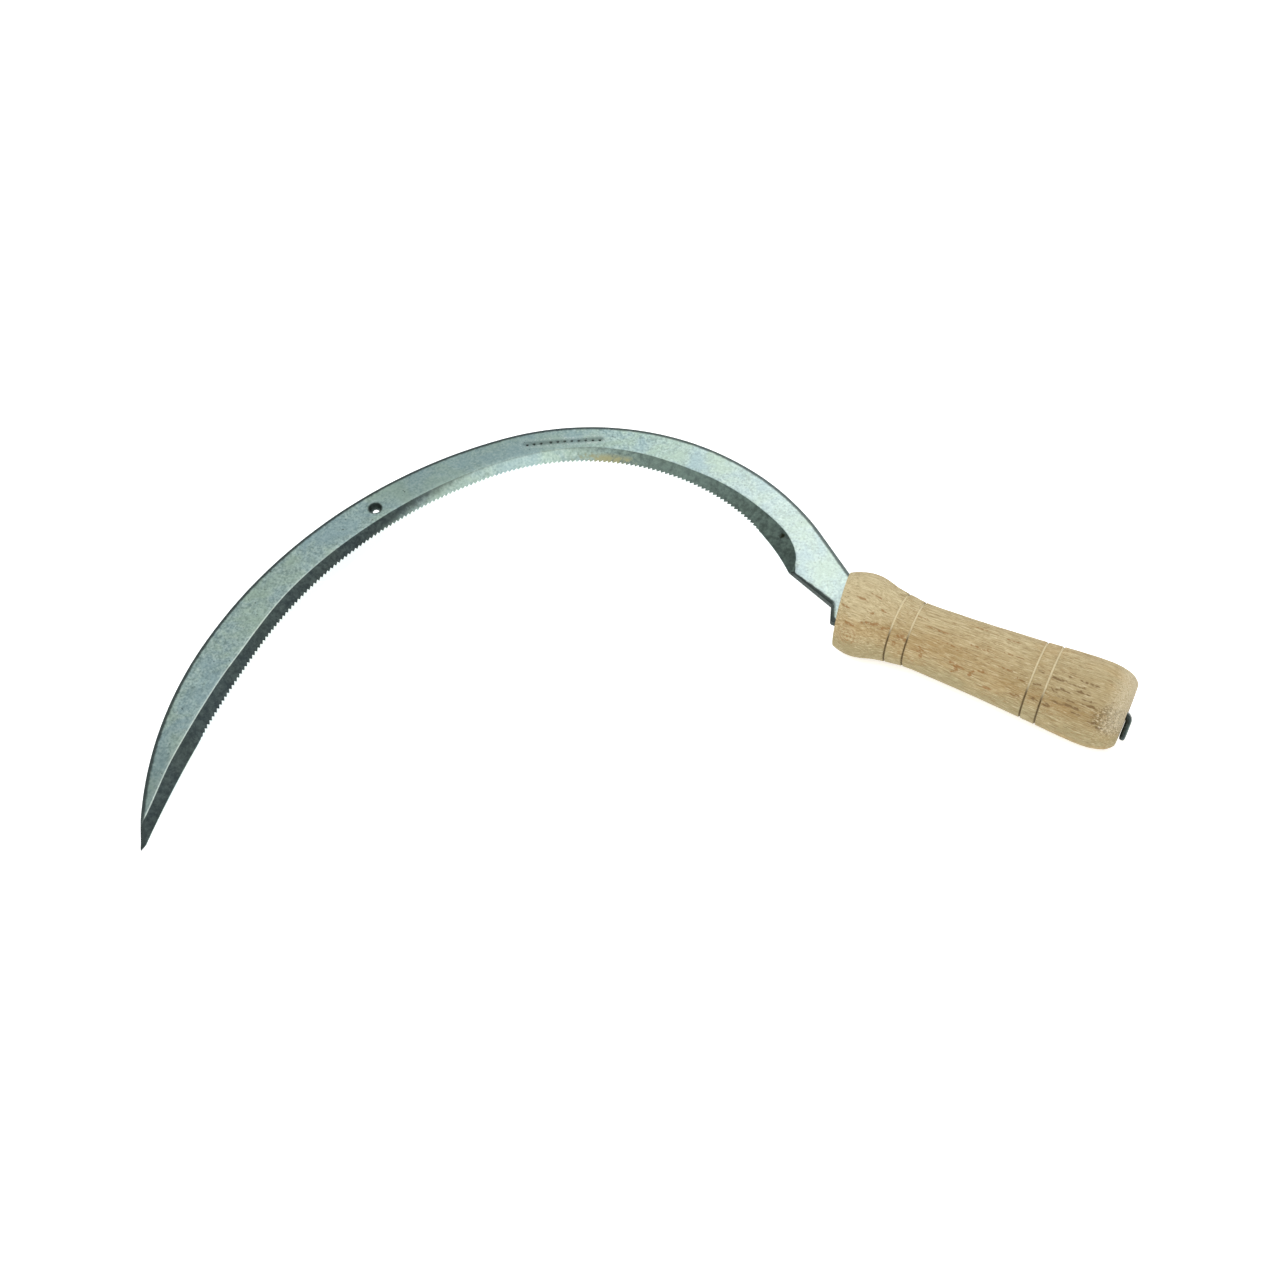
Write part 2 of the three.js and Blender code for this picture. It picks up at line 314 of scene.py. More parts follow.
# The shank: the bevel runs out just past the heel and leaves a plain wall down to the lug.
HEEL = edge_curve.at(0.0)
SHANK_FOOT = np.array([-4.6, -1.3])
SHANK = float(np.linalg.norm(SHANK_FOOT - HEEL))
RUNOUT = 2.6
heel_partner = float(np.interp(0.0, grid, partners))
FOOT_PARTNER = 1.6
for d in [0.5, 1.0, 1.6, 2.2, RUNOUT, 3.4, 4.6] + list(np.linspace(6.2, SHANK, 12)):
    past = min(1.0, d / RUNOUT)
    spine = spine_curve.at(heel_partner + (FOOT_PARTNER - heel_partner) * d / SHANK)
    bevel = BEVEL_WIDTH[0] + (CORNER - BEVEL_WIDTH[0]) * past
    land = -TOP + EDGE_LAND + (BEVEL_RISE - CORNER) * past
    rings.append(blade_ring(HEEL + (SHANK_FOOT - HEEL) * d / SHANK, spine, bevel, land))

# The lug below the shank, whose far side is the shoulder that bears on the handle.
LUG_END = -9.2
SHOULDER_FOOT = front_at(LUG_END) - CLEARANCE
lug = [
    (-4.1, -2.9),
    (-3.3, -5.0),
    (-2.13, -8.2),
    (-1.85, -8.75),
    (-1.13, -9.2),
    (0.2, -9.2),
    (SHOULDER_FOOT, LUG_END),
]
partners_up = [1.35, 1.1, 0.85, 0.65, 0.45, 0.2, 0.0]
for foot, partner in zip(lug, partners_up):
    rings.append(blade_ring(foot, spine_curve.at(partner), CORNER, TOP - CORNER))

# The tang inside the handle, twisted at its end and bent over against the butt.
TANG_ROOT, TANG_END = 9.0, 4.6
TANG_THICKNESS = 2.4
CLINCH_LEAN = math.radians(45)
CLINCH_REACH = 10.2


def bar_section(width, thickness, softness):
    """The same ring of roles as a blade section, laid round a bar: [across, up]."""
    h, t = width / 2, thickness / 2
    r = min(softness, t * 0.98)
    under = len(UNDER_NEAR_EDGE) + UNDER_COLUMNS
    over = FLAT_COLUMNS + 1 + BEVEL_COLUMNS
    ring = [(y, -t) for y in np.linspace(-h + r, h - r, under)]
    for i in range(1, 2 * ROUND_STEPS + 1):
        turn = math.radians(-90 + 180 * i / (2 * ROUND_STEPS + 1))
        ring.append((h - r + r * math.cos(turn), (t - r) * math.sin(turn) + r * math.sin(turn)))
    left = 5
    ring += [(y, t) for y in np.linspace(h - r, -h + r, over - left)]
    for i in range(1, left + 1):
        turn = math.radians(90 + 180 * i / (left + 1))
        ring.append((-h + r + r * math.cos(turn), (t - r) * math.sin(turn) + r * math.sin(turn)))
    return np.array(ring)


def turned_x(points, angle):
    c, s = math.cos(angle), math.sin(angle)
    out = points.copy()
    out[:, 1] = c * points[:, 1] - s * points[:, 2]
    out[:, 2] = s * points[:, 1] + c * points[:, 2]
    return out


blade_rings = len(rings)
bar = bar_section(TANG_ROOT, TANG_THICKNESS, 0.5)
rings.append(np.column_stack([front_at(bar[:, 0]) - CLEARANCE + 0.02, bar]))
TWIST_FROM, TWIST_TO = 106.0, 118.0
for x in (4, 12, 26, 44, 62, 80, 94, 104, 106, 108, 110, 112, 114, 116, 118):
    width = TANG_ROOT + (TANG_END - TANG_ROOT) * x / HANDLE_LENGTH
    bar = bar_section(width, TANG_THICKNESS, 0.5 + 0.5 * smooth_between(x, 90, 118))
    twist = -CLINCH_LEAN * float(smooth_between(x, TWIST_FROM, TWIST_TO))
    rings.append(turned_x(np.column_stack([np.full(len(bar), float(x)), bar]), twist))

# The clinch, in the plane it bends in: straight out, round the bend, and down the butt.
BEND_RADIUS = 2.4
bend_x = HANDLE_LENGTH + CLEARANCE + TANG_THICKNESS / 2 - BEND_RADIUS
clinch = [(bend_x - 0.6, 0.0, 0.0)]
for i in range(0, 9):
    turn = math.radians(90 * i / 8)
    clinch.append((bend_x + BEND_RADIUS * math.sin(turn), -BEND_RADIUS * (1 - math.cos(turn)), turn))
for fraction in (0.15, 0.3, 0.45, 0.6, 0.7):
    down = -BEND_RADIUS - (CLINCH_REACH - BEND_RADIUS) * fraction
    clinch.append((bend_x + BEND_RADIUS, down, math.pi / 2))
DOME_LENGTH = 2.2
# [share of the dome's length, share of the full width] of the rounded end.
CLINCH_DOME = [(0.0, 1.0), (0.35, 0.95), (0.65, 0.8), (0.88, 0.55), (1.0, 0.2)]
for fraction, size in CLINCH_DOME:
    clinch.append((bend_x + BEND_RADIUS, -CLINCH_REACH + DOME_LENGTH * (1 - fraction), math.pi / 2, size))
for step in clinch:
    x, z, turn = step[:3]
    size = step[3] if len(step) > 3 else 1.0
    spread = 1 + 0.16 * smooth_between(-z, 3, CLINCH_REACH)  # hammered a little wider towards its end
    bar = bar_section(TANG_END * size * spread, TANG_THICKNESS * (0.4 + 0.6 * size), 1.0)
    ring = np.column_stack([
        x + bar[:, 1] * math.sin(turn),
        bar[:, 0],
        z + bar[:, 1] * math.cos(turn),
    ])
    rings.append(turned_x(ring, -CLINCH_LEAN))


def loft(name, rings, first_cap, last_cap):
    """A closed mesh through rings of equal counts, with a fan at each end."""
    n = len(rings[0])
    verts = np.concatenate(rings + [np.array([first_cap]), np.array([last_cap])])
    faces = []
    for i in range(len(rings) - 1):
        for k in range(n):
            a, b = i * n + k, i * n + (k + 1) % n
            faces.append((a, b, b + n, a + n))
    first, last = len(verts) - 2, len(verts) - 1
    end = (len(rings) - 1) * n
    for k in range(n):
        faces.append((first, (k + 1) % n, k))
        faces.append((last, end + k, end + (k + 1) % n))
    mesh = bpy.data.meshes.new(name)
    mesh.from_pydata(verts.tolist(), [], faces)
    mesh.validate()
    work = bmesh.new()
    work.from_mesh(mesh)
    bmesh.ops.recalc_face_normals(work, faces=work.faces)
    work.to_mesh(mesh)
    work.free()
    return mesh


# Waves go on the blade's rings only, so the tang's rings stay plain where they meet the shoulder.
for i in range(blade_rings):
    rings[i] = steel_unevenness(rings[i])
tip = np.array([POINT[0], POINT[1], -TOP + 0.15])
leg_end = turned_x(np.array([[bend_x + BEND_RADIUS, 0.0, -CLINCH_REACH - 0.02]]), -CLINCH_LEAN)[0]
blade_mesh = loft("forged_blade", rings, tip, leg_end)
blade = bpy.data.objects.new("forged_blade", blade_mesh)
bpy.context.collection.objects.link(blade)

# Cutters: the hanging hole with its eased rim, and a row of plain punch marks on the upper face.
MARKS_FROM, MARKS_TO = (-160.6, 19.6), (-131.0, 37.0)
MARK_DEPTH = 0.4


def prism(work, outline, bottom, top, top_scale=1.0):
    """A closed prism on a plan outline, opened out towards its top by top_scale."""
    outline = np.asarray(outline, float)
    centre = outline.mean(axis=0)
    low = [work.verts.new((*p, bottom)) for p in outline]
    high = [work.verts.new((*(centre + (p - centre) * top_scale), top)) for p in outline]
    n = len(outline)
    for k in range(n):
        work.faces.new((low[k], low[(k + 1) % n], high[(k + 1) % n], high[k]))
    work.faces.new(list(reversed(low)))
    work.faces.new(high)


def circle(centre, radius, count):
    turns = np.linspace(0, 2 * math.pi, count, endpoint=False)
    return [(centre[0] + radius * math.cos(t), centre[1] + radius * math.sin(t)) for t in turns]


cutters = bmesh.new()
hole_taper = (HOLE_DIAMETER - HOLE_UNDERSIDE) / PLATE
hole_low, hole_high = HOLE_UNDERSIDE - hole_taper, HOLE_DIAMETER + hole_taper
prism(cutters, circle(HOLE_CENTRE, hole_low / 2, 48), -TOP - 1, TOP + 1, hole_high / hole_low)
row_from, row_to = np.array(MARKS_FROM), np.array(MARKS_TO)
along_row = (row_to - row_from) / np.linalg.norm(row_to - row_from)
across_row = np.array([-along_row[1], along_row[0]])
# Equal round dots in two groups, [distance along the row]: a plain punched border.
ROW_LENGTH, ROW_BOW, ROW_DROP = 34.0, 0.9, 0.2
DOT_PITCH, DOT_DIAMETER, DOT_SIDES = 3.1, 0.75, 12
MARK_ABOVE = 0.6  # how far the cutters reach above the face
MARKS = [1.0 + DOT_PITCH * i for i in range(3)] + [11.5 + DOT_PITCH * i for i in range(8)]
for distance in MARKS:
    bow = ROW_BOW * math.sin(math.pi * distance / ROW_LENGTH)
    centre = row_from + along_row * distance + across_row * (bow - ROW_DROP)
    opened = 1 + (MARK_DEPTH + MARK_ABOVE) / MARK_DEPTH
    outline = circle(centre, DOT_DIAMETER / 2, DOT_SIDES)
    prism(cutters, outline, TOP - MARK_DEPTH, TOP + MARK_ABOVE, opened)
bmesh.ops.recalc_face_normals(cutters, faces=cutters.faces)
cutter_mesh = bpy.data.meshes.new("cutters")
cutters.to_mesh(cutter_mesh)
cutters.free()
cutter = bpy.data.objects.new("cutters", cutter_mesh)
bpy.context.collection.objects.link(cutter)
boolean = blade.modifiers.new("cut", "BOOLEAN")
boolean.operation, boolean.solver, boolean.object = "DIFFERENCE", "EXACT", cutter
bpy.context.view_layer.update()
cut_mesh = bpy.data.meshes.new_from_object(blade.evaluated_get(bpy.context.evaluated_depsgraph_get()))
blade.modifiers.clear()
blade.data = cut_mesh
bpy.data.objects.remove(cutter)
bpy.data.meshes.remove(cutter_mesh)
cut_mesh.name = "forged_blade"


def float_attribute(mesh, name, values):
    attribute = mesh.attributes.new(name, "FLOAT", "POINT")
    attribute.data.foreach_set("value", np.asarray(values, dtype=np.float32))


def coordinates(mesh):
    flat = np.empty(len(mesh.vertices) * 3, dtype=np.float32)
    mesh.vertices.foreach_get("co", flat)
    return flat.reshape(-1, 3).astype(float)


def reposition(mesh, points):
    mesh.vertices.foreach_set("co", np.asarray(points, dtype=np.float32).ravel())
    mesh.update()


at = coordinates(cut_mesh)
across, along = edge_curve.nearest(at[:, :2])
from_spine = spine_curve.nearest(at[:, :2])[0]
shank_line = SHANK_FOOT - HEEL
shank_t = np.clip(((at[:, :2] - HEEL) @ shank_line) / SHANK**2, 0, 1)
from_shank = np.linalg.norm(at[:, :2] - (HEEL + shank_t[:, None] * shank_line), axis=1)
lug_side = np.array(lug[3]) - SHANK_FOOT
lug_t = np.clip(((at[:, :2] - SHANK_FOOT) @ lug_side) / (lug_side @ lug_side), 0, 1)
from_lug = np.linalg.norm(at[:, :2] - (SHANK_FOOT + lug_t[:, None] * lug_side), axis=1)
from_lug = np.minimum(from_lug, np.where(at[:, 0] < 2, at[:, 1] - LUG_END, 9.0))
ridge = across - bevel_width(along)
on_plate = smooth_between(-at[:, 0], -3.0, -1.0)
near_hole = np.linalg.norm(at[:, :2] - HOLE_CENTRE, axis=1)
float_attribute(cut_mesh, "along", along)
float_attribute(cut_mesh, "across", across)
float_attribute(cut_mesh, "ridge", np.where(at[:, 0] > -24.5, 5.0, ridge))
float_attribute(cut_mesh, "from_spine", np.where(on_plate > 0.5, from_spine, 9.0))
by_shank = (at[:, 0] > -27) & (at[:, 0] < 2)
float_attribute(cut_mesh, "from_shank", np.where(by_shank, np.minimum(from_shank, from_lug), 9.0))
float_attribute(cut_mesh, "behind", at[:, 0])
SPOTS = [((-37.6, 22.6), 1.5), ((-24.6, 18.2), 0.55), ((-25.6, 21.2), 0.45), ((-41.5, 26.0), 0.8)]
spots = [np.linalg.norm(at[:, :2] - centre, axis=1) / reach for centre, reach in SPOTS]
float_attribute(cut_mesh, "spot", np.min(spots, axis=0))
row_t = np.clip((at[:, :2] - row_from) @ along_row, 0, ROW_LENGTH)
from_row = np.linalg.norm(at[:, :2] - row_from - row_t[:, None] * along_row - 0.6 * across_row, axis=1)
float_attribute(cut_mesh, "row", from_row)
sunk = np.clip((TOP - 0.16 - at[:, 2]) / 0.1, 0, 1)
float_attribute(cut_mesh, "pit", np.where((from_row < 2.2) & (at[:, 2] > 0.6), sunk, 0))
float_attribute(cut_mesh, "hole", near_hole)
float_attribute(cut_mesh, "height", at[:, 2])
reposition(cut_mesh, placed(at))
cut_mesh.shade_smooth()
cut_mesh.set_sharp_from_angle(angle=math.radians(38))

# ---------------------------------------------------------------- handle
# [distance from the front, radius] of the turned profile.
STATIONS = [
    (-5, 12.8), (0, 15.5), (5, 17.1), (9.7, 17.6), (14, 17),
    (19, 15.6), (26, 14.5), (34, 13.75), (50, 14.25), (74, 15.5),
    (96, 17.1), (107.5, 17.6), (113.5, 17.1), (117.8, 15.8), (120.3, 13.8),
]
GROOVES = (24.1, 31.5, 82.7, 89.1)
GROOVE_WIDTH, GROOVE_DEPTH = 1.1, 0.6
SIDES = 192


def catmull_rom(points, per_span):
    points = [points[0]] + list(points) + [points[-1]]
    out = []
    for p0, p1, p2, p3 in zip(points, points[1:], points[2:], points[3:]):
        for i in range(per_span):
            t = i / per_span
            point = []
            for a, b, c, d in zip(p0, p1, p2, p3):
                square, cube = 2 * a - 5 * b + 4 * c - d, 3 * b - a - 3 * c + d
                point.append(0.5 * (2 * b + (c - a) * t + square * t**2 + cube * t**3))
            out.append(point)
    out.append(list(points[-1]))
    return np.array(out)


profile = catmull_rom(STATIONS, 40)


def turned_radius(x):
    return np.interp(x, profile[:, 0], profile[:, 1])


def groove_at(x):
    """How deep the turned V grooves are at a distance along the handle, from 0 to 1."""
    gap = np.min(np.abs(np.asarray(x)[..., None] - np.array(GROOVES)), axis=-1)
    return np.clip(1 - gap / (GROOVE_WIDTH / 2), 0, 1)


stations = set(np.round(np.arange(0.0, 120.3, 0.55), 3))
for groove in GROOVES:
    stations |= {round(groove + d, 3) for d in (-0.55, -0.46, -0.3, -0.15, 0, 0.15, 0.3, 0.46, 0.55)}
stations = sorted(stations)
angles = np.linspace(0, 2 * math.pi, SIDES, endpoint=False)
round_y, round_z = np.cos(angles), np.sin(angles)


def handle_ring(x, radius, fade):
    """A ring of the handle, sheared with the slanted front where it is near it."""
    y, z = radius * round_y, radius * round_z
    return np.column_stack([x + front_at(1.0) * y * fade, y, z])


handle_rings, groove_depths = [], []
FRONT_FADE = 14.0
for x in stations:
    fade = 1 - smooth_between(x, 0, FRONT_FADE)
    sheared = x + front_at(1.0) * turned_radius(x) * round_y * fade
    radius = turned_radius(sheared) - GROOVE_DEPTH * groove_at(x)
    handle_rings.append(handle_ring(x, radius, fade))
    groove_depths.append(groove_at(x))

# The butt: the rounded corner runs into a nearly flat face, then the bore comes back to the front.
BUTT = [
    (13.35, 120.62), (12.9, 120.84), (12.4, 120.95), (11.6, 121.0), (10, 121.0),
    (8, 121.0), (6.2, 121.0), (4.6, 121.0), (3.6, 120.98), (3.0, 120.9),
]
for radius, x in BUTT:
    handle_rings.append(handle_ring(x, np.full(SIDES, radius), 0.0))
    groove_depths.append(0.0)


def slot_radius(half_y, half_z, power):
    return (np.abs(round_y / half_y) ** power + np.abs(round_z / half_z) ** power) ** (-1 / power)


# [distance from the front, half width, half height, squareness] of the bore.
BORE = [
    (120.3, 2.8, 2.8, 2),
    (112, 3.0, 3.0, 2),
    (90, 3.4, 2.9, 2),
    (50, 4.3, 2.9, 2),
    (12, 4.9, 2.6, 2.4),
    (3, 4.95, 1.9, 4),
    (0.35, 4.95, 1.75, 5),
]
for x, half_y, half_z, power in BORE:
    fade = 1 - smooth_between(x, 0, FRONT_FADE)
    handle_rings.append(handle_ring(x, slot_radius(half_y, half_z, power), fade))
    groove_depths.append(0.0)
for share, x in ((0.0, 0.04), (0.1, 0.0), (0.3, 0.0), (0.55, 0.0), (0.8, 0.0), (0.93, 0.0), (0.985, 0.05)):
    inner = slot_radius(5.1, 1.9, 5)
    outer = turned_radius(front_at(1.0) * 15.5 * round_y) - 0.25
    handle_rings.append(handle_ring(x, inner + (outer - inner) * share, 1.0))
    groove_depths.append(0.0)

n = SIDES
verts = np.concatenate(handle_rings)
grooved = np.repeat(groove_depths, n)
count = len(handle_rings)
faces = []
for i in range(count):
    j = (i + 1) % count
    for k in range(n):
        faces.append((i * n + k, i * n + (k + 1) % n, j * n + (k + 1) % n, j * n + k))

# Turned wood is never quite smooth: raised grain along the length, and a torn patch by the butt.
radial = np.linalg.norm(verts[:, 1:], axis=1)
outward = verts.copy()
outward[:, 0] = 0
outward /= np.maximum(radial, 1e-6)[:, None]
outside = (radial > 11) & (verts[:, 0] > 0.5)
TORN_AT, TORN_REACH = np.array([116.8, -11.8, 9.6]), 8.5
torn = np.clip(1 - np.linalg.norm((verts - TORN_AT) * (0.8, 1, 1), axis=1) / TORN_REACH, 0, 1)
for i in np.nonzero(outside)[0]:
    x, y, z = verts[i]
    grain = noise.noise(Vector((x * 0.09, y * 1.5, z * 1.5)))
    fine = noise.noise(Vector((x * 0.35, y * 4.1, z * 4.1 + 9)))
    slow = noise.noise(Vector((x * 0.05, y * 0.08, z * 0.08)))
    push = 0.05 * grain + 0.035 * fine + 0.12 * slow
    if torn[i] > 0:
        chip = noise.noise(Vector((x * 0.5, y * 1.3, z * 1.3 + 4)))
        push -= torn[i] * (0.25 * max(0.0, chip + 0.25) + 0.12)
    verts[i] += outward[i] * push


# Dark strokes in the grain: [distance from the front, degrees from the spine side, length, width, tilt].
STROKES = [
    (8.0, 142, 5.0, 0.8, 0.06), (13.5, 133, 4.0, 1.0, -0.3), (17.5, 131, 4.5, 1.0, -0.25),
    (22.0, 132, 5.0, 1.0, -0.35), (15.0, 118, 2.5, 0.9, -0.2), (9.0, 104, 6.0, 0.7, 0.1),
    (19.0, 108, 4.0, 0.6, 0.1), (28.5, 135, 4.5, 0.9, -0.3), (27.0, 150, 1.8, 1.6, 0.1),
    (30.8, 139, 1.8, 1.2, 0.0), (37.3, 148, 2.4, 1.2, -0.2), (38.5, 156, 1.6, 2.4, -0.3),
    (53.6, 151, 1.7, 3.2, -0.3), (55.5, 148, 3.6, 0.9, 0.1), (59.5, 153, 2.2, 1.6, 0.0),
    (64.0, 141, 4.5, 0.9, -0.15), (67.5, 164, 4.2, 1.3, 0.0), (51.0, 146, 2.2, 0.8, 0.0),
    (78.8, 156, 5.0, 0.9, -0.1), (86.5, 150, 4.0, 1.0, -0.1), (91.5, 151, 3.5, 1.7, -0.1),
    (92.0, 112, 9.0, 0.8, -0.03), (85.5, 110, 3.0, 0.7, 0.0), (96.0, 124, 6.0, 0.7, 0.0),
    (103.0, 118, 7.0, 0.7, 0.0), (98.0, 133, 8.0, 0.7, 0.0), (107.0, 131, 7.0, 0.8, 0.0),
    (101.0, 140, 9.0, 0.8, 0.0), (110.0, 150, 4.0, 1.0, 0.0), (113.5, 155, 3.6, 1.0, 0.0),
    (72.0, 124, 8.0, 0.6, 0.0), (53.2, 150, 3.6, 1.2, 0.75), (53.2, 158, 3.4, 1.2, -0.75),
    (60.2, 147, 2.4, 1.0, -0.6), (38.0, 143, 3.4, 0.7, 0.4), (28.8, 139, 3.6, 0.7, -0.5),
    (92.5, 128, 4.0, 0.8, 0.35), (94.5, 124, 4.0, 0.8, -0.45), (86.0, 128, 4.5, 0.6, -0.3),
    (4.0, 121, 5.0, 0.6, 0.1), (14.0, 92, 7.0, 0.6, 0.12), (33.0, 92, 9.0, 0.45, -0.05),
    (42.0, 104, 12.0, 0.45, 0.0), (100.0, 112, 10.0, 0.5, 0.0), (104.0, 104, 9.0, 0.5, 0.0),
    (97.0, 104, 7.0, 0.5, 0.0), (106.0, 125, 9.0, 0.55, 0.0), (103.0, 146, 7.0, 0.6, 0.0),
    (95.0, 142, 6.0, 0.7, 0.0), (60.0, 108, 14.0, 0.45, 0.0), (73.0, 101, 12.0, 0.4, 0.0),
    (79.0, 131, 5.0, 0.6, 0.0), (70.0, 76, 9.0, 0.7, 0.0), (58.0, 72, 7.0, 0.6, 0.0),
    (47.0, 120, 9.0, 0.5, 0.0),
]
KNOT_AT, KNOT_RADIUS, KNOT_RING = (8.5, 160), 4.6, 1.5


def wood_figure(points):
    """Where dark strokes and the rings of a small knot show on the turned surface, from 0 to 1."""
    x = points[:, 0]
    around = np.degrees(np.arctan2(points[:, 2], points[:, 1]))
    girth = np.radians(1.0) * np.maximum(turned_radius(x), 1.0)
    figure = np.zeros(len(points))
    ragged = np.array([noise.noise(Vector((p[0] * 0.8, p[1] * 2.2, p[2] * 2.2))) for p in points])
    for centre, degrees, length, width, tilt in STROKES:
        u, v = x - centre, (around - degrees) * girth
        v = v - tilt * u + 0.35 * ragged
        reach = (2 * u / length) ** 2 + (1.5 * v / width) ** 2
        figure = np.maximum(figure, np.clip(1.5 * (1.25 - reach), 0, 1) * (0.75 + 0.8 * ragged))
    u, v = x - KNOT_AT[0], (around - KNOT_AT[1]) * girth
    r = np.hypot(u, v * 0.8) + 0.5 * ragged
    rings = np.clip(np.cos(2 * math.pi * (r - KNOT_RADIUS) / KNOT_RING), 0, 1)
    rings = rings * np.clip(1.3 - r / (KNOT_RADIUS * 1.5), 0, 1)
    return np.clip(np.maximum(figure, 0.75 * rings), 0, 1) * (points[:, 2] > -8)


handle_mesh = bpy.data.meshes.new("turned_handle")
handle_mesh.from_pydata(verts.tolist(), [], faces)
handle_mesh.validate()
work = bmesh.new()
work.from_mesh(handle_mesh)
bmesh.ops.recalc_face_normals(work, faces=work.faces)
work.to_mesh(handle_mesh)
work.free()
float_attribute(handle_mesh, "groove", grooved)
float_attribute(handle_mesh, "figure", wood_figure(verts))
float_attribute(handle_mesh, "torn", torn)
for name, column in (("lengthwise", 0), ("sideways", 1), ("upwards", 2)):
    float_attribute(handle_mesh, name, verts[:, column])
reposition(handle_mesh, placed(verts))
handle_mesh.shade_smooth()
handle_mesh.set_sharp_from_angle(angle=math.radians(50))
handle = bpy.data.objects.new("turned_handle", handle_mesh)
bpy.context.collection.objects.link(handle)


# ---------------------------------------------------------------- materials
class Nodes:
    """Short ways to add and wire the nodes of one material."""

    def __init__(self, name):
        self.material = bpy.data.materials.new(name)
        self.material.use_nodes = True
        self.tree = self.material.node_tree
        self.tree.nodes.clear()
        self.output = self.tree.nodes.new("ShaderNodeOutputMaterial")
        self.shader = self.tree.nodes.new("ShaderNodeBsdfPrincipled")
        self.tree.links.new(self.shader.outputs[0], self.output.inputs[0])

    def put(self, socket, value):
        if isinstance(value, bpy.types.NodeSocket):
            self.tree.links.new(value, socket)
        elif value is not None:
            socket.default_value = value

    def attribute(self, name):
        node = self.tree.nodes.new("ShaderNodeAttribute")
        node.attribute_name = name
        return node.outputs["Fac"]

    def math(self, operation, a, b=None, c=None, clamp=False):
        node = self.tree.nodes.new("ShaderNodeMath")
        node.operation, node.use_clamp = operation, clamp
        for socket, value in zip(node.inputs, (a, b, c)):
            self.put(socket, value)
        return node.outputs[0]

    def times(self, *values):
        out = values[0]
        for value in values[1:]:
            out = self.math("MULTIPLY", out, value)
        return out

    def ramp(self, value, low, high, to_low=0.0, to_high=1.0):
        node = self.tree.nodes.new("ShaderNodeMapRange")
        node.interpolation_type = "SMOOTHSTEP"
        for socket, v in zip(node.inputs, (value, low, high, to_low, to_high)):
            self.put(socket, v)
        return node.outputs[0]

    def vector(self, x, y, z=0.0):
        node = self.tree.nodes.new("ShaderNodeCombineXYZ")
        for socket, v in zip(node.inputs, (x, y, z)):
            self.put(socket, v)
        return node.outputs[0]

    def noise(self, vector, scale, detail=4.0, roughness=0.55, distortion=0.0):
        node = self.tree.nodes.new("ShaderNodeTexNoise")
        self.put(node.inputs["Vector"], vector)
        values = {"Scale": scale, "Detail": detail, "Roughness": roughness, "Distortion": distortion}
        for name, v in values.items():
            self.put(node.inputs[name], v)
        return node.outputs["Fac"]

    def mix(self, factor, a, b, kind="MIX"):
        node = self.tree.nodes.new("ShaderNodeMix")
        node.data_type, node.blend_type, node.clamp_factor = "RGBA", kind, True
        for socket, v in ((node.inputs[0], factor), (node.inputs[6], a), (node.inputs[7], b)):
            self.put(socket, (*v, 1.0) if isinstance(v, tuple) else v)
        return node.outputs[2]

    def bump(self, height, strength, distance, normal=None):
        node = self.tree.nodes.new("ShaderNodeBump")
        values = {"Strength": strength, "Distance": distance, "Height": height, "Normal": normal}
        for name, v in values.items():
            self.put(node.inputs[name], v)
        return node.outputs[0]


